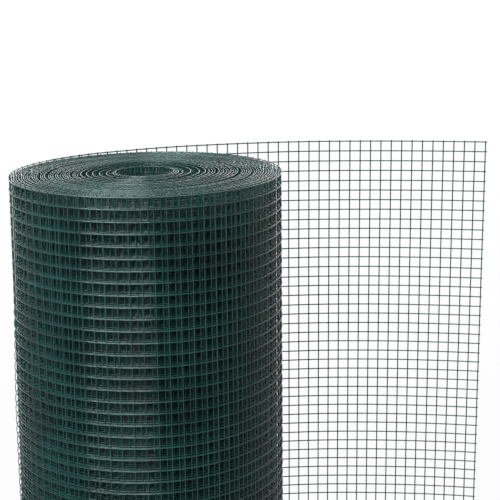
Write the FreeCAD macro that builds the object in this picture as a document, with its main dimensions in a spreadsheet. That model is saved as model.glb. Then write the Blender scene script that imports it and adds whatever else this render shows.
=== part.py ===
"""Roll of welded wire mesh, standing on its end, with the outer end of the mesh running free.

The mesh is one length of square-mesh netting wound up tight. The wound turns are one turned
solid with its bore, and the edges of the turns show as rings on both ends. The last stretch
of the mesh leaves the roll on a tangent and stands free as a flat net of crossing wires. Its
plan is three tangent arcs, and it is built in sections that meet face to face.

The origin is on the axis of the roll at the floor, +Z is up, and the free end runs to +X.
All sizes are in millimetres and all angles in degrees.
"""
import FreeCAD, Part
import math
import os
import types

import Sketcher

DRIVING_SIZES = [
    ("level_pitch", 12.7, "centre to centre of neighbouring level wires"),
    ("upright_pitch", 13.14, "centre to centre of neighbouring upright wires"),
    ("row_count", 39, "meshes across the width of the netting"),
    ("wire_size", 1.05, "thickness of a coated wire"),
    ("weld_sink", 0.15, "how far two crossing wires sink into each other"),
    ("edge_tip", 1.3, "upright wire past the middle of the edge wire"),
    ("outer_radius", 152.4, "outside of the wound turns"),
    ("bore_radius", 31.7, "inside of the innermost turn"),
    ("loose_gap_1", 0.5, "free space outside the first loose turn"),
    ("loose_gap_2", 3.1, "free space outside the second loose turn"),
    ("loose_gap_3", 4.5, "free space outside the third loose turn"),
    ("loose_gap_4", 6.5, "free space outside the fourth loose turn"),
    ("loose_gap_5", 6.3, "free space outside the fifth loose turn"),
    ("loose_gap_6", 4.7, "free space outside the sixth loose turn"),
    ("loose_gap_7", 2.1, "free space outside the seventh loose turn"),
    ("loose_gap_8", 1.3, "free space outside the eighth loose turn"),
    ("loose_gap_9", 0.7, "free space outside the ninth loose turn"),
    ("loose_depth", 12.0, "depth of the rings between the loose turns"),
    ("tight_gap", 0.65, "free space between two tight turns"),
    ("tight_depth", 3.0, "depth of the rings between the tight turns"),
    ("tail_clearance", 0.3, "between the roll and the start of the free end"),
    ("leave_angle", 142.9, "where the free end leaves the roll, from +X"),
    ("near_bend_radius", 184.4, "bend of the free end beside the roll"),
    ("middle_bend_radius", 612.5, "bend of the free end behind the roll"),
    ("far_bend_radius", 1104.0, "bend of the free end out to its cut edge"),
    ("near_columns", 6, "upright wires in the section beside the roll"),
    ("middle_columns", 8, "upright wires in each section behind the roll"),
    ("far_columns", 7, "upright wires in each section of the outer stretch"),
    ("cut_stub", 1.5, "level wire past the middle of the last upright wire"),
]

LOOSE_GAPS = 9
SECTIONS = [
    ("tail_mesh_1", "near"),
    ("tail_mesh_2", "middle"),
    ("tail_mesh_3", "middle"),
    ("tail_mesh_4", "middle"),
    ("tail_mesh_5", "far"),
    ("tail_mesh_6", "far"),
]

# The radial thickness of a turn and the width of the netting, as expressions of the sheet.
TURN = "(2 * Sizes.wire_size - Sizes.weld_sink)"
MESH_WIDTH = "(Sizes.row_count * Sizes.level_pitch + 2 * Sizes.edge_tip)"


def make_sheet(doc):
    """Fill the spreadsheet with the driving sizes, one alias to a row."""
    sheet = doc.addObject("Spreadsheet::Sheet", "Sizes")
    for row, (alias, number, note) in enumerate(DRIVING_SIZES, start=1):
        sheet.set(f"A{row}", alias)
        sheet.set(f"B{row}", str(number))
        sheet.set(f"C{row}", note)
        sheet.setAlias(f"B{row}", alias)
    doc.recompute()
    return sheet


def read_sizes(sheet):
    """Return the driving sizes as named numbers, for shapes made straight from them."""
    return types.SimpleNamespace(**{alias: sheet.get(alias) for alias, _, _ in DRIVING_SIZES})


def turn_thickness(sizes):
    """Return the thickness of the netting: two wires, sunk into each other by the weld."""
    return 2 * sizes.wire_size - sizes.weld_sink


def mesh_width(sizes):
    """Return the width of the netting, which is the height of the roll."""
    return sizes.row_count * sizes.level_pitch + 2 * sizes.edge_tip


def origin_plane(body, role):
    """Return the body's own origin plane of the given role."""
    return next(item for item in body.Origin.OriginFeatures if item.Role == role)


def make_body(doc, label):
    """Return a new body whose label names its node."""
    body = doc.addObject("PartDesign::Body", label)
    body.Label = label
    return body


def make_sketch(body, name, role):
    """Return a new sketch on one of the body's origin planes."""
    sketch = body.newObject("Sketcher::SketchObject", name)
    sketch.AttachmentSupport = (origin_plane(body, role), [""])
    sketch.MapMode = "FlatFace"
    return sketch


def add_rectangle(sketch, name, left, right, bottom, top):
    """Draw a rectangle whose sides stand at the four expressions, measured from the origin."""
    first = sketch.GeometryCount
    base, side, head, back = first, first + 1, first + 2, first + 3
    corners = [FreeCAD.Vector(x, y, 0) for x, y in ((1, 1), (2, 1), (2, 2), (1, 2))]
    lines = [Part.LineSegment(corners[i], corners[(i + 1) % 4]) for i in range(4)]
    sketch.addGeometry(lines, False)
    corner_joints = [
        Sketcher.Constraint("Coincident", first + i, 2, first + (i + 1) % 4, 1) for i in range(4)
    ]
    sketch.addConstraint(corner_joints)
    sketch.addConstraint([
        Sketcher.Constraint("Horizontal", base),
        Sketcher.Constraint("Vertical", side),
        Sketcher.Constraint("Horizontal", head),
        Sketcher.Constraint("Vertical", back),
    ])
    sides = [
        ("left", "DistanceX", back, 1, left),
        ("right", "DistanceX", side, 2, right),
        ("bottom", "DistanceY", base, 1, bottom),
        ("top", "DistanceY", head, 2, top),
    ]
    for word, kind, line, start_value, expression in sides:
        index = sketch.addConstraint(Sketcher.Constraint(kind, -1, 1, line, 1, start_value))
        sketch.renameConstraint(index, f"{name}_{word}")
        sketch.setExpression(f"Constraints.{name}_{word}", expression)


def tight_ring_count(sizes):
    """Return how many rings fit between the outside of the roll and its loose turns."""
    turn = turn_thickness(sizes)
    loose_gaps = [getattr(sizes, f"loose_gap_{number}") for number in range(1, LOOSE_GAPS + 1)]
    loose_radius = sizes.bore_radius + (LOOSE_GAPS + 1) * turn + sum(loose_gaps)
    return int((sizes.outer_radius - loose_radius) / (turn + sizes.tight_gap))


def draw_end_rings(sketch, sizes):
    """Draw the section of every ring that is open at the upper end of the roll."""
    end = f"{MESH_WIDTH} / 2"
    over_end = f"{end} + Sizes.tight_depth"
    radius = "Sizes.bore_radius"
    for number in range(1, LOOSE_GAPS + 1):
        inner = f"{radius} + {TURN}"
        radius = f"{inner} + Sizes.loose_gap_{number}"
        add_rectangle(sketch, f"loose_{number}", inner, radius, f"{end} - Sizes.loose_depth", over_end)
    for number in range(1, tight_ring_count(sizes) + 1):
        outer = f"Sizes.outer_radius - {number} * {TURN} - {number - 1} * Sizes.tight_gap"
        inner = f"{outer} - Sizes.tight_gap"
        add_rectangle(sketch, f"tight_{number}", inner, outer, f"{end} - Sizes.tight_depth", over_end)


def make_rolled_mesh(doc, sizes):
    """Turn the wound part of the netting, with its bore and the rings on both of its ends."""
    body = make_body(doc, "rolled_mesh")
    profile = make_sketch(body, "RollProfile", "XZ_Plane")
    add_rectangle(
        profile, "wall", "Sizes.bore_radius", "Sizes.outer_radius", f"-{MESH_WIDTH} / 2", f"{MESH_WIDTH} / 2"
    )
    wall = body.newObject("PartDesign::Revolution", "RollWall")
    wall.Profile = profile
    wall.ReferenceAxis = (profile, ["V_Axis"])
    wall.Angle = 360
    doc.recompute()
    plain_volume = body.Shape.Volume

    rings = make_sketch(body, "EndRings", "XZ_Plane")
    draw_end_rings(rings, sizes)
    upper = body.newObject("PartDesign::Groove", "UpperRings")
    upper.Profile = rings
    upper.ReferenceAxis = (rings, ["V_Axis"])
    upper.Angle = 360
    doc.recompute()
    one_end_volume = body.Shape.Volume

    lower = body.newObject("PartDesign::Mirrored", "LowerRings")
    lower.Originals = [upper]
    lower.MirrorPlane = (origin_plane(body, "XY_Plane"), [""])
    body.Tip = lower
    body.setExpression("Placement.Base.z", f"{MESH_WIDTH} / 2")
    doc.recompute()
    cut = [plain_volume - one_end_volume, one_end_volume - body.Shape.Volume]
    if min(cut) <= 0:
        raise RuntimeError("the end rings cut nothing from the roll")
    return body


def make_level_wire(sizes, bend_radius, turn_angle, height):
    """Return one level wire: a square bar turned about the upright axis through the origin."""
    inner = bend_radius + turn_thickness(sizes) / 2 - sizes.wire_size
    corner = FreeCAD.Vector(inner, 0, height - sizes.wire_size / 2)
    section = Part.makePlane(
        sizes.wire_size, sizes.wire_size, corner, FreeCAD.Vector(0, -1, 0), FreeCAD.Vector(1, 0, 0)
    )
    return section.revolve(FreeCAD.Vector(), FreeCAD.Vector(0, 0, 1), turn_angle)


def make_upright_wire(sizes, bend_radius, angle):
    """Return one upright wire: a square bar standing at an angle about the origin."""
    inner = bend_radius - turn_thickness(sizes) / 2
    corner = FreeCAD.Vector(inner, -sizes.wire_size / 2, 0)
    wire = Part.makeBox(sizes.wire_size, sizes.wire_size, mesh_width(sizes), corner)
    wire.rotate(FreeCAD.Vector(), FreeCAD.Vector(0, 0, 1), angle)
    return wire


def make_tail_section(doc, sizes, label, bend_radius, upright_count, first_gap):
    """Weld one section of the free end about the centre of its bend.

    The section starts at the +X axis and turns towards +Y, back along the netting. Its level
    wires are on the outside of the bend and its upright wires on the inside, sunk into each
    other by the weld, so that the section is one solid.
    """
    length = (upright_count - 0.5) * sizes.upright_pitch + first_gap
    turn_angle = math.degrees(length / bend_radius)
    wires = []
    for row in range(int(sizes.row_count) + 1):
        height = sizes.edge_tip + row * sizes.level_pitch
        wires.append(make_level_wire(sizes, bend_radius, turn_angle, height))
    for column in range(upright_count):
        angle = math.degrees((first_gap + column * sizes.upright_pitch) / bend_radius)
        wires.append(make_upright_wire(sizes, bend_radius, angle))
    welded = wires[0].multiFuse(wires[1:])
    section = doc.addObject("Part::Feature", label)
    section.Label = label
    section.Shape = welded.Solids[0] if len(welded.Solids) == 1 else welded
    return section, length


def heading_vector(heading):
    """Return the level unit vector of a heading, measured from +X."""
    return FreeCAD.Vector(math.cos(math.radians(heading)), math.sin(math.radians(heading)), 0)


def make_tail(doc, sizes):
    """Build the sections of the free end and set each where the one before it stops."""
    start_radius = sizes.outer_radius + sizes.tail_clearance + turn_thickness(sizes) / 2
    start = heading_vector(sizes.leave_angle) * start_radius
    heading = sizes.leave_angle - 90
    sections = []
    for label, bend in SECTIONS:
        bend_radius = getattr(sizes, f"{bend}_bend_radius")
        upright_count = int(getattr(sizes, f"{bend}_columns"))
        first_gap = sizes.cut_stub if label == SECTIONS[-1][0] else sizes.upright_pitch / 2
        section, length = make_tail_section(doc, sizes, label, bend_radius, upright_count, first_gap)
        centre = start + heading_vector(heading - 90) * bend_radius
        heading -= math.degrees(length / bend_radius)
        start = centre + heading_vector(heading + 90) * bend_radius
        section.Placement = FreeCAD.Placement(centre, FreeCAD.Rotation(heading + 90, 0, 0))
        sections.append(section)
    return sections


def check_document(doc, pieces):
    """Stop if any object failed or any sub-part is not one sound solid."""
    for item in doc.Objects:
        if "Invalid" in item.State or "Error" in item.State:
            raise RuntimeError(f"{item.Label} failed: {item.State}")
    for piece in pieces:
        shape = piece.Shape
        if shape.isNull() or not shape.isValid() or len(shape.Solids) != 1:
            raise RuntimeError(f"{piece.Label} is not one sound solid")


def main():
    """Build the roll and its free end, check them and write one STEP file for each."""
    doc = FreeCAD.newDocument("WireMeshRoll")
    sizes = read_sizes(make_sheet(doc))
    pieces = [make_rolled_mesh(doc, sizes)]
    pieces += make_tail(doc, sizes)
    doc.recompute()
    check_document(doc, pieces)
    os.makedirs("parts", exist_ok=True)
    for piece in pieces:
        piece.Shape.exportStep(f"parts/{piece.Label}.step")
        print(f"{piece.Label}: {piece.Shape.Volume:.1f} mm3, {piece.Shape.BoundBox}")


main()
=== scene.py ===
"""Looks of a standing roll of green coated welded mesh, with its outer end run out as a net.

The netting is built wire by wire along one plan line: a spiral of turns that are loose near
the core and tight outside, then three gentle bends out to the cut edge. One node tree sweeps
the level wires, stands the upright wires and sets a weld bead where they cross. The line is
cut into stretches, and each stretch is one piece of the object. The bare steel that shows at
the cut ends of the free end's level wires is one piece more.
"""
import logging
import math
from dataclasses import dataclass
from enum import Enum

import bpy
import numpy as np
from mathutils import Matrix, Vector


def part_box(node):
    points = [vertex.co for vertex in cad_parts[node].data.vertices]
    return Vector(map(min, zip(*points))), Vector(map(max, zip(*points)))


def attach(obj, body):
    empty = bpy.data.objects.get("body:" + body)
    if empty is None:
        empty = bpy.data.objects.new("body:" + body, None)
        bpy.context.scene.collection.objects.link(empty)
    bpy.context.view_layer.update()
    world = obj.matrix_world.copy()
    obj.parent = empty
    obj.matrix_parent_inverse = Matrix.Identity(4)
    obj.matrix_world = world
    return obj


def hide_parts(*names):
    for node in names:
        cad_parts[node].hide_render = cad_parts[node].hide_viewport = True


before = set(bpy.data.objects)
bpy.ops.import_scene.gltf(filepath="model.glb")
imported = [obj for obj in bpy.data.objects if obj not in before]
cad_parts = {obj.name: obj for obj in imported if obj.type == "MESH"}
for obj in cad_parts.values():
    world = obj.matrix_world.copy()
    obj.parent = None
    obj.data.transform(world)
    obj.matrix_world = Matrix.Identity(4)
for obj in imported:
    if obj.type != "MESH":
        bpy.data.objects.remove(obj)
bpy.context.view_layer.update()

LOG = logging.getLogger("wire_mesh_roll")
ROOT_BODY = "root"
BAKE_MAP = "OFBake"
OUTWARD = "outward"
COLUMN = "column"
MM = 0.001


# ---------------------------------------------------------------------------- small helpers


def linear(code: str, alpha: float = 1.0) -> tuple[float, float, float, float]:
    """Turn an sRGB hex colour into the linear colour that shaders take.

    Args:
        code: six hex digits with a leading hash.
        alpha: the fourth number of the result.

    Returns:
        Linear red, green and blue, and alpha.
    """
    values = [int(code[i:i + 2], 16) / 255 for i in (1, 3, 5)]
    red, green, blue = (v / 12.92 if v <= 0.04045 else ((v + 0.055) / 1.055) ** 2.4 for v in values)
    return red, green, blue, alpha


def add_node(tree: bpy.types.NodeTree, kind: str, inputs: dict | None = None,
             **settings: object) -> bpy.types.Node:
    """Add a node to a tree, with its settings, its values and its links.

    Args:
        tree: the shader or geometry tree that gets the node.
        kind: the node's type name.
        inputs: input name or number, with the value it takes or the output that feeds it.
        **settings: the node's own properties.

    Returns:
        The new node.
    """
    node = tree.nodes.new(kind)
    for name, value in settings.items():
        setattr(node, name, value)
    for key, value in (inputs or {}).items():
        if isinstance(key, int):
            socket = node.inputs[key]
        else:
            socket = next(s for s in node.inputs if s.name == key and s.enabled)
        if isinstance(value, bpy.types.NodeSocket):
            tree.links.new(value, socket)
        else:
            socket.default_value = value
    return node


def output_of(node: bpy.types.Node, name: str | None = None) -> bpy.types.NodeSocket:
    """Return a node's first live output, or the live output of the given name."""
    return next(s for s in node.outputs if s.enabled and name in (None, s.name))


def smooth_step(value: np.ndarray) -> np.ndarray:
    """Return a smooth rise from 0, at values up to 0, to 1, at values of 1 and more."""
    value = np.clip(value, 0, 1)
    return value * value * (3 - 2 * value)


def smooth_bump(offset: np.ndarray) -> np.ndarray:
    """Return a bump that is 1 at offset 0 and falls smoothly to 0 at offsets of 1 and more."""
    return np.where(np.abs(offset) < 1, 0.5 + 0.5 * np.cos(np.pi * np.clip(offset, -1, 1)), 0.0)


# ------------------------------------------------------------------------------- finishes


@dataclass(frozen=True)
class CoatedWireFinish:
    """Dark green PVC fused over galvanised steel wire by dipping the welded mesh.

    The coat is smooth and a little glossy, with a faint orange peel, darker and lighter
    stretches and small pale scuffs. Its gloss changes with the scuffs.

    Attributes:
        shade_ramp: the noise values that the darkest and the lightest stretches start at.
        scuff_ramp: the noise values at which scuffs begin and are full.
        most_scuffed: how much of the pale colour a full scuff shows.
        gloss_ramp: the noise values of the smoothest and the roughest coat.
    """

    name: str = "pvc_coated_wire"
    green: str = "#123533"
    deep_green: str = "#0A2524"
    worn_green: str = "#264C47"
    shade_ramp: tuple[float, float] = (0.35, 0.65)
    scuff_ramp: tuple[float, float] = (0.56, 0.74)
    most_scuffed: float = 0.5
    gloss_ramp: tuple[float, float] = (0.3, 0.7)
    shade_length_mm: float = 55.0
    speck_length_mm: float = 3.5
    peel_length_mm: float = 0.9
    smooth_roughness: float = 0.14
    rough_roughness: float = 0.27
    ior: float = 1.53
    sheen_tint: str = "#D6E6E6"
    peel_height_mm: float = 0.02

    def build(self) -> bpy.types.Material:
        """Build the coat's shader.

        Returns:
            The coat's material.
        """
        material = bpy.data.materials.new(self.name)
        material.use_nodes = True
        tree = material.node_tree
        tree.nodes.clear()
        place = output_of(add_node(tree, "ShaderNodeTexCoord"), "Object")
        shade = add_node(tree, "ShaderNodeTexNoise", {
            "Vector": place, "Scale": 1 / (self.shade_length_mm * MM), "Detail": 3.0, "Roughness": 0.6})
        speck = add_node(tree, "ShaderNodeTexNoise", {
            "Vector": place, "Scale": 1 / (self.speck_length_mm * MM), "Detail": 2.0, "Roughness": 0.5})
        shade_ramp = add_node(tree, "ShaderNodeMapRange", {
            "Value": output_of(shade), "From Min": self.shade_ramp[0], "From Max": self.shade_ramp[1]})
        coat = add_node(tree, "ShaderNodeMix", {
            "Factor": output_of(shade_ramp), "A": linear(self.deep_green), "B": linear(self.green)},
            data_type="RGBA")
        speck_ramp = add_node(tree, "ShaderNodeMapRange", {
            "Value": output_of(speck), "From Min": self.scuff_ramp[0],
            "From Max": self.scuff_ramp[1], "To Max": self.most_scuffed})
        worn = add_node(tree, "ShaderNodeMix", {
            "Factor": output_of(speck_ramp), "A": output_of(coat), "B": linear(self.worn_green)},
            data_type="RGBA")
        roughness = add_node(tree, "ShaderNodeMapRange", {
            "Value": output_of(speck), "From Min": self.gloss_ramp[0], "From Max": self.gloss_ramp[1],
            "To Min": self.smooth_roughness, "To Max": self.rough_roughness})
        peel = add_node(tree, "ShaderNodeTexNoise", {
            "Vector": place, "Scale": 1 / (self.peel_length_mm * MM), "Detail": 1.0})
        bump = add_node(tree, "ShaderNodeBump", {
            "Height": output_of(peel), "Distance": self.peel_height_mm * MM, "Strength": 1.0})
        shader = add_node(tree, "ShaderNodeBsdfPrincipled", {
            "Base Color": output_of(worn), "Roughness": output_of(roughness),
            "Normal": output_of(bump), "IOR": self.ior,
            "Specular Tint": linear(self.sheen_tint)})
        add_node(tree, "ShaderNodeOutputMaterial", {"Surface": output_of(shader)})
        return material


@dataclass(frozen=True)
class CutSteelFinish:
    """Galvanised steel core, bare where the netting was cut with shears.

    Each end is a dull bright disc with shear scratches across it.
    """

    name: str = "galvanised_cut_steel"
    bright: str = "#B4B8BA"
    dull: str = "#7E8486"
    scratch_length_mm: float = 0.25
    scratch_squeeze: float = 5.0
    roughness_low: float = 0.32
    roughness_high: float = 0.55

    def build(self) -> bpy.types.Material:
        """Build the bare steel's shader.

        Returns:
            The bare steel's material.
        """
        material = bpy.data.materials.new(self.name)
        material.use_nodes = True
        tree = material.node_tree
        tree.nodes.clear()
        place = output_of(add_node(tree, "ShaderNodeTexCoord"), "Object")
        squeeze = add_node(tree, "ShaderNodeMapping", {
            "Vector": place, "Scale": (1.0, 1.0, self.scratch_squeeze)})
        scratch = add_node(tree, "ShaderNodeTexNoise", {
            "Vector": output_of(squeeze), "Scale": 1 / (self.scratch_length_mm * MM), "Detail": 2.0})
        colour = add_node(tree, "ShaderNodeMix", {
            "Factor": output_of(scratch), "A": linear(self.dull), "B": linear(self.bright)},
            data_type="RGBA")
        roughness = add_node(tree, "ShaderNodeMapRange", {
            "Value": output_of(scratch), "To Min": self.roughness_low, "To Max": self.roughness_high})
        shader = add_node(tree, "ShaderNodeBsdfPrincipled", {
            "Base Color": output_of(colour), "Roughness": output_of(roughness), "Metallic": 1.0})
        add_node(tree, "ShaderNodeOutputMaterial", {"Surface": output_of(shader)})
        return material


@dataclass(frozen=True)
class ShootingTableFinish:
    """White acrylic of a shooting table, lit from under, with the faintest mottling.

    The glow leaves almost no shadow round the roll.
    """

    name: str = "backlit_white_acrylic"
    light: str = "#8E8E8E"
    shade: str = "#888888"
    mottle_length_mm: float = 400.0
    roughness: float = 0.9
    glow_colour: str = "#FFFFFF"
    glow: float = 0.82

    def build(self) -> bpy.types.Material:
        """Build the acrylic's shader.

        Returns:
            The acrylic's material.
        """
        material = bpy.data.materials.new(self.name)
        material.use_nodes = True
        material.cycles.emission_sampling = "NONE"
        tree = material.node_tree
        tree.nodes.clear()
        place = output_of(add_node(tree, "ShaderNodeTexCoord"), "Object")
        mottle = add_node(tree, "ShaderNodeTexNoise", {
            "Vector": place, "Scale": 1 / (self.mottle_length_mm * MM), "Detail": 2.0})
        colour = add_node(tree, "ShaderNodeMix", {
            "Factor": output_of(mottle), "A": linear(self.shade), "B": linear(self.light)},
            data_type="RGBA")
        shader = add_node(tree, "ShaderNodeBsdfPrincipled", {
            "Base Color": output_of(colour), "Roughness": self.roughness,
            "Emission Color": linear(self.glow_colour), "Emission Strength": self.glow})
        add_node(tree, "ShaderNodeOutputMaterial", {"Surface": output_of(shader)})
        return material


# ----------------------------------------------------------------------- the netting's plan


@dataclass(frozen=True)
class NetSizes:
    """Sizes of the netting itself, in metres.

    Attributes:
        wire: thickness of a wire over its coat.
        weld_sink: how far two wires sink into each other where they cross.
        level_pitch: distance from one level wire to the next.
        upright_pitch: distance from one upright wire to the next.
        row_count: how many meshes high the netting is.
        edge_tip: how far the upright wires stand out past the lowest level wire.
        cut_stub: how far the level wires stand out past the mid-mesh where they are cut.
        height: length of an upright wire.
    """

    wire: float = 1.05 * MM
    weld_sink: float = 0.15 * MM
    level_pitch: float = 12.7 * MM
    upright_pitch: float = 13.14 * MM
    row_count: int = 39
    edge_tip: float = 1.3 * MM
    cut_stub: float = 1.5 * MM
    height: float = 497.9 * MM

    @property
    def thickness(self) -> float:
        """Thickness of the netting at a weld."""
        return 2 * self.wire - self.weld_sink

    @property
    def weld_offset(self) -> float:
        """Distance of each wire's middle from the middle of the netting."""
        return (self.wire - self.weld_sink) / 2


class Side(Enum):
    """A side of the roll, as the winding angle at which the turns pass it."""

    RIGHT = 0.0
    FRONT = 0.5 * math.pi
    LEFT = math.pi
    BACK = 1.5 * math.pi


@dataclass(frozen=True)
class Crescent:
    """A place where one turn stands off the turn inside it.

    Attributes:
        side: where round the roll the gap is widest.
        turn: which tight turn it is outside of, counted outwards.
        gap_mm: how wide the gap is there, over the usual gap.
        spread: half the angle over which it opens and closes, in radians.
    """

    side: Side
    turn: int
    gap_mm: float
    spread: float = 1.1


@dataclass
class Winding:
    """The plan line of the netting: the turns of the roll and the free end.

    Winding angles grow clockwise from +X as seen from above, one full circle to a turn.

    Attributes:
        sizes: sizes of the netting itself.
        outer_radius: radius of the roll.
        leave_angle: where the free end leaves the roll, in radians from +X.
        seat_clearance: how far outside that radius the free end's netting starts.
        loose_half_turns_mm: radii of the loose turns at every half turn, from the inner end out.
        inner_end_angle: how far before the second of those the netting is cut, in radians.
        tight_turns: how many whole turns lie on each other outside the loose ones.
        slack_turns: how many of the outermost turns lie a little looser than the rest.
        slack_gap: how much looser they lie.
        crescents: the gaps between single turns.
        chance_crescents: how many small gaps are drawn by chance.
        chance_gap_mm: the widest of those.
        chance_spread: the least and the most half angle of those, in radians.
        chance_share: the least and the most share of the widest gap that those take.
        leaving_gap: how far the outermost turn stands off where the free end leaves.
        leaving_spread: half the angle over which that gap opens, in radians.
        bends: radius and column count of each bend of the free end.
        lift_waves: length, height and start of each wave in the netting's height, in metres.
        steps_per_turn: points of the line in each turn.
        steps_per_column: points of the line in each mesh of the free end.
        seed: start of the random draws.
    """

    sizes: NetSizes
    outer_radius: float
    leave_angle: float = math.radians(142.9)
    seat_clearance: float = 0.76 * MM
    loose_half_turns_mm: tuple[float, ...] = (
        32.2, 32.7, 33.2, 35.2, 35.6, 37.7, 43.2, 42.5, 51.3, 51.4, 59.2,
        61.0, 66.1, 67.7, 72.6, 72.0, 76.4, 75.6, 79.3, 78.3)
    inner_end_angle: float = 0.78
    tight_turns: int = 26
    slack_turns: float = 5.0
    slack_gap: float = 0.4 * MM
    crescents: tuple[Crescent, ...] = (
        Crescent(Side.LEFT, 1, 2.2), Crescent(Side.LEFT, 5, 0.7), Crescent(Side.LEFT, 6, 0.9),
        Crescent(Side.LEFT, 8, 0.9), Crescent(Side.LEFT, 11, 2.6), Crescent(Side.LEFT, 14, 2.7),
        Crescent(Side.LEFT, 17, 0.8), Crescent(Side.LEFT, 22, 0.6),
        Crescent(Side.RIGHT, 1, 2.2), Crescent(Side.RIGHT, 4, 0.8), Crescent(Side.RIGHT, 10, 2.3),
        Crescent(Side.RIGHT, 15, 1.0), Crescent(Side.RIGHT, 20, 0.7),
        Crescent(Side.FRONT, 2, 1.2), Crescent(Side.BACK, 3, 1.2))
    chance_crescents: int = 30
    chance_gap_mm: float = 0.25
    chance_spread: tuple[float, float] = (0.5, 1.3)
    chance_share: tuple[float, float] = (0.3, 1.0)
    leaving_gap: float = 0.3 * MM
    leaving_spread: float = 1.6
    bends: tuple[tuple[float, int], ...] = ((184.4 * MM, 6), (612.5 * MM, 24), (1104.0 * MM, 14))
    lift_waves: tuple[tuple[float, float, float], ...] = (
        (1.71, 0.35 * MM, 0.3), (0.93, 0.25 * MM, 0.1), (0.57, 0.2 * MM, 0.4))
    steps_per_turn: int = 360
    steps_per_column: int = 8
    seed: int = 11

    @property
    def start_radius(self) -> float:
        """Radius of the netting's middle where the free end leaves the roll."""
        return self.outer_radius + self.seat_clearance + self.sizes.thickness / 2

    def loose_turns(self) -> np.ndarray:
        """Join the radii of the loose turns smoothly from one half turn to the next.

        Returns:
            The radius at each step of the loose turns, in metres.
        """
        marks = np.array(self.loose_half_turns_mm) * MM
        half = self.steps_per_turn // 2
        place = np.arange((len(marks) - 1) * half) / half
        number = place.astype(int)
        share = 0.5 - 0.5 * np.cos(np.pi * (place - number))
        return marks[number] * (1 - share) + marks[number + 1] * share

    def extra_gaps(self, angles: np.ndarray) -> np.ndarray:
        """Return how far each tight turn stands off the one inside it, over the usual gap.

        Args:
            angles: winding angles of the tight turns.

        Returns:
            The extra gap at each angle, in metres.
        """
        extra = self.leaving_gap * smooth_bump((angles - angles[-1]) / self.leaving_spread)
        turns_left = (angles[-1] - angles) / (2 * math.pi)
        extra += self.slack_gap * np.clip(self.slack_turns - turns_left, 0, 1)
        for crescent in self.crescents:
            middle = angles[0] + 2 * math.pi * crescent.turn + crescent.side.value
            extra += crescent.gap_mm * MM * smooth_bump((angles - middle) / crescent.spread)
        draw = np.random.default_rng(self.seed)
        for _ in range(self.chance_crescents):
            middle = draw.uniform(angles[0], angles[-1])
            spread = draw.uniform(*self.chance_spread)
            gap = draw.uniform(*self.chance_share) * self.chance_gap_mm * MM
            extra += gap * smooth_bump((angles - middle) / spread)
        return extra

    def wind(self) -> tuple[np.ndarray, np.ndarray]:
        """Lay turn on turn, sharing the free space evenly between the tight turns.

        Returns:
            The winding angles and the radius at each.
        """
        steps = self.steps_per_turn
        loose = self.loose_turns()
        tail_share = 1 - self.leave_angle / (2 * math.pi)
        tight = steps * self.tight_turns + round(steps * tail_share) + 1
        angles = -math.pi + 2 * math.pi * np.arange(len(loose) + tight) / steps
        begun = smooth_step(2 * np.arange(tight) / steps)
        added = self.sizes.thickness + begun * self.extra_gaps(angles[len(loose):])
        added += (1 - begun) * (loose[-1] - loose[-1 - steps] - self.sizes.thickness)
        radii = np.concatenate([loose, added])
        laid = np.concatenate([np.zeros(len(loose)), begun])
        for i in range(len(loose), len(radii)):
            radii[i] += radii[i - steps]
            laid[i] += laid[i - steps]
        usual = (self.start_radius - radii[-1]) / laid[-1]
        last = np.arange(len(radii) - steps, len(radii))
        drop = (radii[-1] - radii[-1 - steps] + usual) * (last[-1] - last) / steps
        usual_gap = np.zeros(steps)
        usual_gap[last % steps] = (self.start_radius - drop - radii[last]) / laid[last]
        return angles, radii + usual_gap[np.arange(len(radii)) % steps] * laid

    def free_end(self) -> np.ndarray:
        """Run the bends of the free end one after another.

        Returns:
            Plan points from where the free end leaves the roll to its last mesh.
        """
        place = self.start_radius * np.array([math.cos(self.leave_angle), math.sin(self.leave_angle)])
        heading = self.leave_angle - math.pi / 2
        points = [place[None]]
        for radius, columns in self.bends:
            length = columns * self.sizes.upright_pitch
            centre = place + radius * np.array([math.sin(heading), -math.cos(heading)])
            turned = heading - np.linspace(0, length / radius, columns * self.steps_per_column + 1)
            arc = centre + radius * np.stack([-np.sin(turned), np.cos(turned)], 1)
            points.append(arc[1:])
            place, heading = arc[-1], turned[-1]
        return np.concatenate(points)

    def line(self) -> tuple[np.ndarray, np.ndarray, float]:
        """Join the turns and the free end, and let the netting rise and sink a little.

        Returns:
            Points in metres from the inner end outwards, how far along the line each one is,
            and how far along it the free end starts.
        """
        angles, radii = self.wind()
        kept = angles >= -self.inner_end_angle
        roll = np.stack([np.cos(angles[kept]), -np.sin(angles[kept])], 1) * radii[kept, None]
        plan = np.concatenate([roll, self.free_end()[1:]])
        along = np.concatenate([[0], np.cumsum(np.linalg.norm(np.diff(plan, axis=0), axis=1))])
        leave = float(along[len(roll) - 1])
        lift = sum(height * np.sin(2 * math.pi * (along / length + start))
                   for length, height, start in self.lift_waves)
        lift *= np.clip((leave - along) / (2 * math.pi * self.outer_radius), 0, 1)
        return np.column_stack([plan, lift]), along, leave

    def roll_columns(self) -> int:
        """Return how many upright wires stand in the roll itself."""
        leave = self.line()[2]
        return math.floor((leave - self.sizes.cut_stub) / self.sizes.upright_pitch + 0.5)

    def cut_places(self) -> tuple[float, float]:
        """Work out where the level wires are cut.

        Returns:
            How far along the line the cut at the core is, and how far the cut at the free end.
        """
        _, along, leave = self.line()
        half_mesh, stub = self.sizes.upright_pitch / 2, self.sizes.cut_stub
        core = leave - self.roll_columns() * self.sizes.upright_pitch + (half_mesh - stub)
        return core, float(along[-1]) - half_mesh + stub


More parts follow.
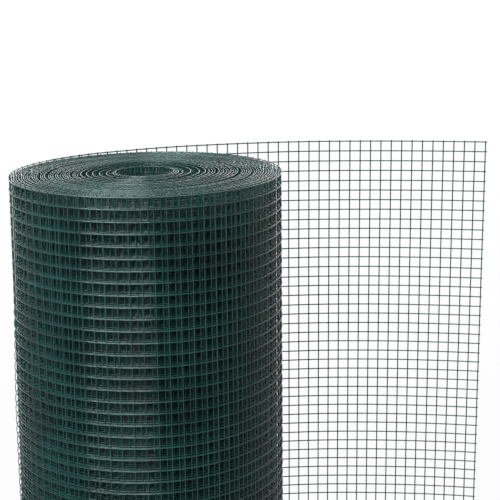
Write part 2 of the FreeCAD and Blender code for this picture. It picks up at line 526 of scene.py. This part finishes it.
@dataclass(frozen=True)
class Pinch:
    """How the roll is drawn in near its upper end, on the side where the free end leaves.

    Attributes:
        outer_radius: radius of the roll.
        depth: how far the outermost turn is drawn in.
        azimuth: where it is drawn in most, in degrees from +X.
        foot: the height below which the roll is true.
        full: the height above which it is drawn in fully.
        fade: how far outside the roll the free end is still drawn in with it.
        drop: how far the drawn-in edge sinks.
        drop_fade: how far outside the roll the free end still sinks with it.
        closeness: how closely the drawing in keeps to its own side.
    """

    outer_radius: float
    depth: float = 7.3 * MM
    azimuth: float = 152.0
    foot: float = 0.2
    full: float = 0.43
    fade: float = 20 * MM
    drop: float = 1.3 * MM
    drop_fade: float = 1.5 * MM
    closeness: float = 1.5

    def draw_in(self, mesh: bpy.types.Mesh) -> None:
        """Move a mesh's points in towards the core, and down.

        Args:
            mesh: the mesh whose points move.
        """
        points = np.zeros(len(mesh.vertices) * 3, np.float32)
        mesh.vertices.foreach_get("co", points)
        points = points.reshape(-1, 3).astype(float)
        radius = np.linalg.norm(points[:, :2], axis=1)
        bearing = np.arctan2(points[:, 1], points[:, 0]) - math.radians(self.azimuth)
        height = smooth_step((points[:, 2] - self.foot) / (self.full - self.foot))
        beyond = np.maximum(radius - self.outer_radius, 0)
        share = (0.5 + 0.5 * np.cos(bearing)) ** self.closeness * height
        share *= np.minimum(radius / self.outer_radius, 1)
        points[:, :2] *= (1 - self.depth * share * np.exp(-beyond / self.fade) / radius)[:, None]
        points[:, 2] -= self.drop * share * np.exp(-beyond / self.drop_fade)
        mesh.vertices.foreach_set("co", points.astype(np.float32).ravel())
        mesh.update()


# ----------------------------------------------------------------------------- the netting


@dataclass(frozen=True)
class WeldedNetTree:
    """Geometry nodes that turn a plan line into level wires, upright wires and weld beads.

    The plan line is a mesh of points and edges at the netting's foot. Each point says which way
    is outward, and whether an upright wire stands there.

    Attributes:
        name: the tree's name.
        row_seed: start of the random heights of the level wires.
        smooth_corners: faces with more corners than this are shaded flat.
        inputs: name and type of each input after the plan line.
    """

    name: str = "welded_net"
    row_seed: int = 7
    smooth_corners: int = 4
    inputs: tuple[tuple[str, str], ...] = (
        ("Wire Radius", "NodeSocketFloat"), ("Wire Sides", "NodeSocketInt"),
        ("Weld Offset", "NodeSocketFloat"), ("Row Count", "NodeSocketInt"),
        ("Row Pitch", "NodeSocketFloat"), ("Edge Tip", "NodeSocketFloat"),
        ("Row Jitter", "NodeSocketFloat"), ("Upright Height", "NodeSocketFloat"),
        ("Bead Radius", "NodeSocketFloat"), ("Bead Detail", "NodeSocketInt"),
        ("Wander", "NodeSocketFloat"), ("Wander Length", "NodeSocketFloat"),
        ("Finish", "NodeSocketMaterial"))

    def build(self) -> bpy.types.NodeTree:
        """Build the tree, with its named inputs.

        Returns:
            The node tree.
        """
        tree = bpy.data.node_groups.new(self.name, "GeometryNodeTree")
        tree.interface.new_socket("Plan Line", in_out="INPUT", socket_type="NodeSocketGeometry")
        for name, kind in self.inputs:
            tree.interface.new_socket(name, in_out="INPUT", socket_type=kind)
        tree.interface.new_socket("Net", in_out="OUTPUT", socket_type="NodeSocketGeometry")
        given = add_node(tree, "NodeGroupInput").outputs
        path = output_of(add_node(tree, "GeometryNodeMeshToCurve", {"Mesh": given["Plan Line"]}))
        rows = self._rows(tree, given)
        profile = output_of(add_node(tree, "GeometryNodeCurvePrimitiveCircle", {
            "Resolution": given["Wire Sides"], "Radius": given["Wire Radius"]}, mode="RADIUS"))
        level_line = self._beside(tree, path, given["Weld Offset"], 1.0)
        level_lines = self._copies(tree, rows, level_line)
        level_lines = output_of(add_node(tree, "GeometryNodeSetCurveNormal", {
            "Curve": level_lines}, mode="Z_UP"))
        upright_line = output_of(add_node(tree, "GeometryNodeCurvePrimitiveLine", {
            "End": self._height(tree, given["Upright Height"])}, mode="POINTS"))
        columns = output_of(add_node(tree, "GeometryNodeInputNamedAttribute", {
            "Name": COLUMN}, data_type="BOOLEAN"), "Attribute")
        upright_feet = self._beside(tree, path, given["Weld Offset"], -1.0)
        upright_lines = self._copies(tree, upright_feet, upright_line, columns)
        crossings = self._copies(tree, path, rows, columns)
        bead = output_of(add_node(tree, "GeometryNodeMeshIcoSphere", {
            "Radius": given["Bead Radius"], "Subdivisions": given["Bead Detail"]}))
        has_beads = output_of(add_node(tree, "FunctionNodeCompare", {
            0: given["Bead Radius"], 1: 0.0}, data_type="FLOAT", operation="GREATER_THAN"))
        beads = self._copies(tree, crossings, bead, has_beads)
        net = add_node(tree, "GeometryNodeJoinGeometry")
        tree.links.new(beads, net.inputs[0])
        for lines in (upright_lines, level_lines):
            wires = add_node(tree, "GeometryNodeCurveToMesh", {
                "Curve": lines, "Profile Curve": profile, "Fill Caps": True})
            tree.links.new(output_of(wires), net.inputs[0])
        face = add_node(tree, "GeometryNodeInputMeshFaceNeighbors")
        round_face = output_of(add_node(tree, "FunctionNodeCompare", {
            "A": output_of(face, "Vertex Count"), "B": self.smooth_corners},
            data_type="INT", operation="LESS_EQUAL"))
        smooth = output_of(add_node(tree, "GeometryNodeSetShadeSmooth", {
            "Geometry": output_of(net), "Shade Smooth": round_face}))
        bent = self._wandering(tree, given, smooth)
        real = output_of(add_node(tree, "GeometryNodeRealizeInstances", {"Geometry": bent}))
        dressed = add_node(tree, "GeometryNodeSetMaterial", {
            "Geometry": real, "Material": given["Finish"]})
        add_node(tree, "NodeGroupOutput", {"Net": output_of(dressed)})
        return tree

    def _height(self, tree: bpy.types.NodeTree, value: bpy.types.NodeSocket) -> bpy.types.NodeSocket:
        """Return a vector that points up by a value."""
        return output_of(add_node(tree, "ShaderNodeCombineXYZ", {"Z": value}))

    def _rows(self, tree: bpy.types.NodeTree, given: bpy.types.NodeOutputs) -> bpy.types.NodeSocket:
        """Stand a point at the height of each level wire, each a little off its even place.

        Args:
            tree: the tree that gets the nodes.
            given: the tree's inputs.

        Returns:
            The points.
        """
        line = add_node(tree, "GeometryNodeMeshLine", {
            "Count": given["Row Count"], "Start Location": self._height(tree, given["Edge Tip"]),
            "Offset": self._height(tree, given["Row Pitch"])}, mode="OFFSET")
        least = add_node(tree, "ShaderNodeMath", {
            0: given["Row Jitter"], 1: -1.0}, operation="MULTIPLY")
        jitter = add_node(tree, "FunctionNodeRandomValue", {
            "Min": output_of(least), "Max": given["Row Jitter"], "Seed": self.row_seed},
            data_type="FLOAT")
        return output_of(add_node(tree, "GeometryNodeSetPosition", {
            "Geometry": output_of(line), "Offset": self._height(tree, output_of(jitter))}))

    def _beside(self, tree: bpy.types.NodeTree, path: bpy.types.NodeSocket,
                offset: bpy.types.NodeSocket, way: float) -> bpy.types.NodeSocket:
        """Move the plan line outward or inward by an offset.

        Args:
            tree: the tree that gets the nodes.
            path: the plan line.
            offset: how far to move it.
            way: 1 for outward and -1 for inward.

        Returns:
            The moved line.
        """
        outward = output_of(add_node(tree, "GeometryNodeInputNamedAttribute", {
            "Name": OUTWARD}, data_type="FLOAT_VECTOR"), "Attribute")
        signed = add_node(tree, "ShaderNodeMath", {0: offset, 1: way}, operation="MULTIPLY")
        move = add_node(tree, "ShaderNodeVectorMath", {
            "Vector": outward, "Scale": output_of(signed)}, operation="SCALE")
        return output_of(add_node(tree, "GeometryNodeSetPosition", {
            "Geometry": path, "Offset": output_of(move)}))

    def _copies(self, tree: bpy.types.NodeTree, points: bpy.types.NodeSocket,
                shape: bpy.types.NodeSocket,
                chosen: bpy.types.NodeSocket | None = None) -> bpy.types.NodeSocket:
        """Set copies of a shape at some points.

        Args:
            tree: the tree that gets the nodes.
            points: geometry with a point for each copy.
            shape: what is copied.
            chosen: which of the points get a copy, or None for all.

        Returns:
            The copies, as real geometry.
        """
        inputs = {"Points": points, "Instance": shape}
        if chosen is not None:
            inputs["Selection"] = chosen
        copies = add_node(tree, "GeometryNodeInstanceOnPoints", inputs)
        return output_of(add_node(tree, "GeometryNodeRealizeInstances", {
            "Geometry": output_of(copies)}))

    def _wandering(self, tree: bpy.types.NodeTree, given: bpy.types.NodeOutputs,
                   net: bpy.types.NodeSocket) -> bpy.types.NodeSocket:
        """Put every wire a little out of true, as handling leaves it.

        Args:
            tree: the tree that gets the nodes.
            given: the tree's inputs.
            net: the netting with its wires true.

        Returns:
            The netting with its wires out of true.
        """
        place = output_of(add_node(tree, "GeometryNodeInputPosition"))
        tightness = add_node(tree, "ShaderNodeMath", {
            0: 1.0, 1: given["Wander Length"]}, operation="DIVIDE")
        noise = add_node(tree, "ShaderNodeTexNoise", {
            "Vector": place, "Scale": output_of(tightness), "Detail": 2.0, "Roughness": 0.5})
        centred = add_node(tree, "ShaderNodeVectorMath", {
            0: output_of(noise, "Color"), 1: (0.5, 0.5, 0.5)}, operation="SUBTRACT")
        double = add_node(tree, "ShaderNodeMath", {0: given["Wander"], 1: 2.0}, operation="MULTIPLY")
        move = add_node(tree, "ShaderNodeVectorMath", {
            "Vector": output_of(centred), "Scale": output_of(double)}, operation="SCALE")
        return output_of(add_node(tree, "GeometryNodeSetPosition", {
            "Geometry": net, "Offset": output_of(move)}))


def lay_bake_map(mesh: bpy.types.Mesh) -> None:
    """Give each face of a mesh its own cell of the map that a baked finish is kept in.

    Args:
        mesh: the mesh that gets the map.
    """
    starts = np.zeros(len(mesh.polygons), np.int32)
    counts = np.zeros(len(mesh.polygons), np.int32)
    mesh.polygons.foreach_get("loop_start", starts)
    mesh.polygons.foreach_get("loop_total", counts)
    faces = np.repeat(np.arange(len(starts)), counts)
    corner = np.arange(len(faces)) - starts[faces]
    across = math.ceil(math.sqrt(len(starts)))
    turn = 2 * math.pi * (corner + 0.5) / counts[faces]
    cell = np.column_stack([faces % across, faces // across]) + 0.5
    places = (cell + 0.5 * np.column_stack([np.cos(turn), np.sin(turn)])) / across
    layer = mesh.uv_layers.new(name=BAKE_MAP)
    layer.data.foreach_set("uv", places.astype(np.float32).ravel())


@dataclass
class NetStretch:
    """One stretch of the netting, as one piece of the object.

    Attributes:
        name: the piece's name.
        nodes: the CAD nodes that the piece stands for.
        first_column: its first upright wire, counted outwards from where the free end leaves.
        columns: how many upright wires it has.
        sides: how many flats its wires are rounded with.
        bead_radius: how far a weld's bead of coating spreads, or 0 for wires that just cross.
        bead_detail: how finely a bead is rounded.
        splits: pieces of level wire between one upright wire and the next.
        wire_radius: the wires' radius, or None for the netting's own.
        row_jitter: how far a level wire may be off its even height.
        wander: how far a wire may be out of true.
        wander_length: the length over which it goes out of true and back.
    """

    name: str
    nodes: tuple[str, ...]
    first_column: int
    columns: int
    sides: int = 8
    bead_radius: float = 0.0
    bead_detail: int = 1
    splits: int = 1
    wire_radius: float | None = None
    row_jitter: float = 0.25 * MM
    wander: float = 0.4 * MM
    wander_length: float = 190 * MM

    def places(self, sizes: NetSizes, leave: float, start: float,
               end: float) -> tuple[np.ndarray, np.ndarray]:
        """Place the points of the plan line along it.

        Args:
            sizes: the netting's sizes.
            leave: how far along the line the free end leaves the roll.
            start: how far along the line the level wires are cut at the core.
            end: how far along the line they are cut at the free end.

        Returns:
            How far along the line each point is, and whether an upright wire stands there.
        """
        steps = np.arange(self.columns * 2 * self.splits + 1)
        along = leave + (self.first_column + steps / (2 * self.splits)) * sizes.upright_pitch
        column = steps % (2 * self.splits) == self.splits
        kept = column | (steps == 0) | (steps == steps[-1])
        if self.splits > 1:
            kept |= steps % 2 == 0
        return np.clip(along[kept], start, end), column[kept]

    def build(self, winding: Winding, tree: bpy.types.NodeTree,
              finish: bpy.types.Material) -> bpy.types.Object:
        """Build the stretch as a plain mesh.

        Args:
            winding: the plan of the whole netting.
            tree: the nodes that make wires of a plan line.
            finish: the wires' material.

        Returns:
            The piece, at the origin, with its place in its mesh.
        """
        line, along, leave = winding.line()
        start, end = winding.cut_places()
        places, column = self.places(winding.sizes, leave, start, end)
        points = np.column_stack([np.interp(places, along, line[:, i]) for i in range(3)])
        ahead = np.column_stack([np.interp(places + MM, along, line[:, i]) for i in range(2)])
        behind = np.column_stack([np.interp(places - MM, along, line[:, i]) for i in range(2)])
        run = ahead - behind
        run /= np.linalg.norm(run, axis=1)[:, None]
        outward = np.column_stack([-run[:, 1], run[:, 0], np.zeros(len(run))])
        return self.weave(winding, points, outward, column, tree, finish)

    def build_cut_ends(self, winding: Winding, tree: bpy.types.NodeTree, finish: bpy.types.Material,
                       stands_out: float) -> bpy.types.Object:
        """Build the bare ends of the level wires along the free end's cut edge.

        Args:
            winding: the plan of the whole netting.
            tree: the nodes that make wires of a plan line.
            finish: the bare wire's material.
            stands_out: how far the bare wire stands out of its coat.

        Returns:
            The piece, at the origin, with its place in its mesh.
        """
        line, along, _ = winding.line()
        _, edge = winding.cut_places()
        inside = np.array([np.interp(edge - stands_out, along, line[:, i]) for i in range(3)])
        cut = np.array([np.interp(edge, along, line[:, i]) for i in range(3)])
        run = (cut - inside) / stands_out
        points = np.stack([inside, cut + run * stands_out])
        outward = np.tile([-run[1], run[0], 0.0], (2, 1))
        return self.weave(winding, points, outward, np.zeros(2, bool), tree, finish)

    def weave(self, winding: Winding, points: np.ndarray, outward: np.ndarray, column: np.ndarray,
              tree: bpy.types.NodeTree, finish: bpy.types.Material) -> bpy.types.Object:
        """Run the node tree over a plan line and keep the result as a plain mesh.

        Args:
            winding: the plan of the whole netting.
            points: the points of the plan line.
            outward: which way is outward at each point.
            column: whether an upright wire stands at each point.
            tree: the nodes that make wires of a plan line.
            finish: the wires' material.

        Returns:
            The piece, at the origin, with its place in its mesh.
        """
        sizes = winding.sizes
        plan = bpy.data.meshes.new(self.name + "_plan")
        plan.from_pydata(points.tolist(), [(i, i + 1) for i in range(len(points) - 1)], [])
        ways = plan.attributes.new(OUTWARD, "FLOAT_VECTOR", "POINT")
        ways.data.foreach_set("vector", outward.ravel())
        uprights = plan.attributes.new(COLUMN, "BOOLEAN", "POINT")
        uprights.data.foreach_set("value", column)
        maker = bpy.data.objects.new(self.name + "_plan", plan)
        bpy.context.scene.collection.objects.link(maker)
        modifier = maker.modifiers.new("net", "NODES")
        modifier.node_group = tree
        values = {
            "Wire Radius": self.wire_radius or sizes.wire / 2, "Wire Sides": self.sides,
            "Weld Offset": sizes.weld_offset, "Row Count": sizes.row_count + 1,
            "Row Pitch": sizes.level_pitch, "Edge Tip": sizes.edge_tip, "Row Jitter": self.row_jitter,
            "Upright Height": sizes.height, "Bead Radius": self.bead_radius,
            "Bead Detail": self.bead_detail, "Wander": self.wander,
            "Wander Length": self.wander_length, "Finish": finish}
        for socket in tree.interface.items_tree:
            if socket.name in values:
                modifier[socket.identifier] = values[socket.name]
        shown = maker.evaluated_get(bpy.context.evaluated_depsgraph_get())
        mesh = bpy.data.meshes.new_from_object(shown)
        maker.modifiers.remove(modifier)
        bpy.data.objects.remove(maker)
        bpy.data.meshes.remove(plan)
        mesh.name = self.name
        Pinch(winding.outer_radius).draw_in(mesh)
        lay_bake_map(mesh)
        piece = bpy.data.objects.new(self.name, mesh)
        bpy.context.scene.collection.objects.link(piece)
        return piece

    def dress(self, piece: bpy.types.Object) -> None:
        """Let the piece ride on the object's body, in the place of its CAD nodes.

        Args:
            piece: the stretch as a mesh object.
        """
        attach(piece, ROOT_BODY)
        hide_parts(*self.nodes)


# ------------------------------------------------------------------------------ the studio


@dataclass(frozen=True)
class SoftBox:
    """A soft light panel of the studio, aimed at a point.

    Attributes:
        name: the light's name.
        azimuth: where it stands round the roll, in degrees; 0 is in front and 90 to the right.
        elevation: how high it stands, in degrees above the roll's middle.
        distance: how far off it stands, in metres.
        size: its width and height, in metres.
        power: its power, in watts.
        colour: its light's sRGB colour.
    """

    name: str
    azimuth: float
    elevation: float
    distance: float
    size: tuple[float, float]
    power: float
    colour: str = "#FFFFFF"

    def build(self, target: Vector) -> bpy.types.Object:
        """Put the light up and aim it at a point.

        Args:
            target: the point that it faces.

        Returns:
            The light.
        """
        light = bpy.data.lights.new(self.name, "AREA")
        light.shape = "RECTANGLE"
        light.size, light.size_y = self.size
        light.energy = self.power
        light.color = linear(self.colour)[:3]
        lamp = bpy.data.objects.new(self.name, light)
        turn, rise = math.radians(self.azimuth), math.radians(self.elevation)
        back = Vector((math.sin(turn) * math.cos(rise), -math.cos(turn) * math.cos(rise), math.sin(rise)))
        lamp.location = target + back * self.distance
        lamp.rotation_euler = back.to_track_quat("Z", "Y").to_euler()
        bpy.context.scene.collection.objects.link(lamp)
        return lamp


@dataclass
class Studio:
    """Lit white floor, soft light panels and the camera.

    Attributes:
        floor_half: half the floor's width, in metres.
        front_sky: the room's brightness in front of the roll.
        back_sky: the brightness of its white wall behind the roll.
        sky_rise: how far back, as a share, the sky starts to brighten and is at its brightest.
        soft_boxes: the light panels.
        camera_place: where the camera stands, in metres.
        camera_down: how far it looks down, in degrees.
        camera_roll: how far it is turned about its own line of sight, in degrees.
        camera_reach: how far it sees, in metres.
        lens: its focal length, in millimetres.
        sensor: its sensor's width, in millimetres.
    """

    floor_half: float = 30.0
    front_sky: float = 0.05
    back_sky: float = 2.5
    sky_rise: tuple[float, float] = (0.1, 1.0)
    soft_boxes: tuple[SoftBox, ...] = (
        SoftBox("key_panel", -24.0, 44.0, 2.3, (2.0, 0.7), 150.0),
        SoftBox("back_top_panel", 180.0, 52.0, 2.2, (1.8, 0.9), 9.0))
    camera_place: tuple[float, float, float] = (0.1167, -1.3951, 0.7360)
    camera_down: float = 13.3
    camera_roll: float = -0.52
    camera_reach: float = 120.0
    lens: float = 91.6
    sensor: float = 36.0

    def build_floor(self, finish: ShootingTableFinish) -> bpy.types.Object:
        """Lay the floor.

        Args:
            finish: what it is made of.

        Returns:
            The floor.
        """
        half = self.floor_half
        mesh = bpy.data.meshes.new("table_floor")
        mesh.from_pydata([(-half, -half, 0), (half, -half, 0), (half, half, 0), (-half, half, 0)],
                         [], [(0, 1, 2, 3)])
        mesh.materials.append(finish.build())
        floor = bpy.data.objects.new("table_floor", mesh)
        bpy.context.scene.collection.objects.link(floor)
        return floor

    def build_sky(self) -> None:
        """Light the room from all round, most from the white wall at the back."""
        world = bpy.data.worlds.new("white_room")
        world.use_nodes = True
        tree = world.node_tree
        tree.nodes.clear()
        way = output_of(add_node(tree, "ShaderNodeTexCoord"), "Generated")
        split = add_node(tree, "ShaderNodeSeparateXYZ", {"Vector": way})
        strength = add_node(tree, "ShaderNodeMapRange", {
            "Value": output_of(split, "Y"), "From Min": self.sky_rise[0], "From Max": self.sky_rise[1],
            "To Min": self.front_sky, "To Max": self.back_sky}, interpolation_type="SMOOTHSTEP")
        light = add_node(tree, "ShaderNodeBackground", {
            "Color": linear("#FFFFFF"), "Strength": output_of(strength)})
        add_node(tree, "ShaderNodeOutputWorld", {"Surface": output_of(light)})
        bpy.context.scene.world = world

    def build_camera(self) -> bpy.types.Object:
        """Set up the camera.

        Returns:
            The camera.
        """
        data = bpy.data.cameras.new("camera")
        data.sensor_width = self.sensor
        data.lens = self.lens
        camera = bpy.data.objects.new("camera", data)
        down, roll = math.radians(self.camera_down), math.radians(self.camera_roll)
        turned = Matrix.Rotation(math.pi / 2 - down, 3, "X") @ Matrix.Rotation(roll, 3, "Z")
        camera.location = self.camera_place
        camera.rotation_euler = turned.to_euler()
        data.clip_end = self.camera_reach
        bpy.context.scene.collection.objects.link(camera)
        bpy.context.scene.camera = camera
        return camera

    def build(self, target: Vector) -> None:
        """Build the floor, the light and the camera, and keep the panels' light off the floor.

        Args:
            target: the point of the roll that the panels face.
        """
        floor = self.build_floor(ShootingTableFinish())
        self.build_sky()
        spared = bpy.data.collections.new("spared_by_panels")
        spared.objects.link(floor)
        spared.collection_objects[0].light_linking.link_state = "EXCLUDE"
        for soft_box in self.soft_boxes:
            soft_box.build(target).light_linking.receiver_collection = spared
        self.build_camera()
        bpy.context.scene.view_settings.view_transform = "Standard"


# --------------------------------------------------------------------------------- the roll


@dataclass
class MeshRoll:
    """The whole roll of netting: its stretches, from the cut edge in to the core.

    Attributes:
        winding: the plan of the whole netting.
        roll_node: the CAD node of the wound turns.
        tail_nodes: the CAD nodes of the free end.
        bead_radius: how far a bead on the outermost turn spreads.
        free_end_bead_radius: how far a bead on the free end spreads.
        free_end_radius: radius of the free end's wires, drawn thicker than the rest.
        steel_radius: radius of the steel in a wire.
        steel_stands_out: how far the steel stands out of its coat at the cut edge.
    """

    winding: Winding
    roll_node: str = "rolled_mesh"
    tail_nodes: tuple[str, ...] = tuple(f"tail_mesh_{i}" for i in range(1, 7))
    bead_radius: float = 0.66 * MM
    free_end_bead_radius: float = 0.92 * MM
    free_end_radius: float = 0.76 * MM
    steel_radius: float = 0.36 * MM
    steel_stands_out: float = 0.25 * MM

    def stretches(self) -> list[NetStretch]:
        """Share the netting out into stretches.

        Returns:
            The stretches, from the free end in to the core.
        """
        plans = [
            ("outer_turn_net", 76, 8, self.bead_radius),
            ("outer_turns_net", 350, 5, 0.0),
            ("middle_turns_net", 510, 4, 0.0),
            ("inner_turns_net", 340, 4, 0.0),
            ("core_edge_turns_net", 250, 4, 0.0)]
        tail_columns = sum(columns for _, columns in self.winding.bends)
        stretches = [NetStretch("free_end_net", self.tail_nodes, 0, tail_columns, sides=10,
                                bead_radius=self.free_end_bead_radius,
                                wire_radius=self.free_end_radius)]
        column = 0
        for name, columns, sides, bead_radius in plans:
            column -= columns
            stretches.append(
                NetStretch(name, (self.roll_node,), column, columns, sides, bead_radius))
        total = self.winding.roll_columns()
        stretches.append(NetStretch("core_turns_net", (self.roll_node,), -total, total + column,
                                    sides=5, splits=2))
        return stretches

    def build(self, finish: bpy.types.Material) -> None:
        """Build and dress every stretch and the bare cut ends, and report each one.

        Args:
            finish: the coated wires' material.
        """
        tree = WeldedNetTree().build()
        for stretch in self.stretches():
            piece = stretch.build(self.winding, tree, finish)
            stretch.dress(piece)
            piece.data.calc_loop_triangles()
            LOG.info("%s: %d upright wires, %d triangles", stretch.name, stretch.columns,
                     len(piece.data.loop_triangles))
        ends = NetStretch("cut_wire_ends", (), 0, 0, wire_radius=self.steel_radius)
        piece = ends.build_cut_ends(self.winding, tree, CutSteelFinish().build(), self.steel_stands_out)
        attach(piece, ROOT_BODY)
        LOG.info("%s: %d bare ends", ends.name, self.winding.sizes.row_count + 1)


def main() -> None:
    """Build the roll and the studio."""
    logging.basicConfig(level=logging.INFO, format="%(name)s: %(message)s")
    low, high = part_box("rolled_mesh")
    winding = Winding(NetSizes(height=high.z), outer_radius=high.x)
    MeshRoll(winding).build(CoatedWireFinish().build())
    Studio().build((low + high) / 2)


if __name__ == "__main__":
    main()
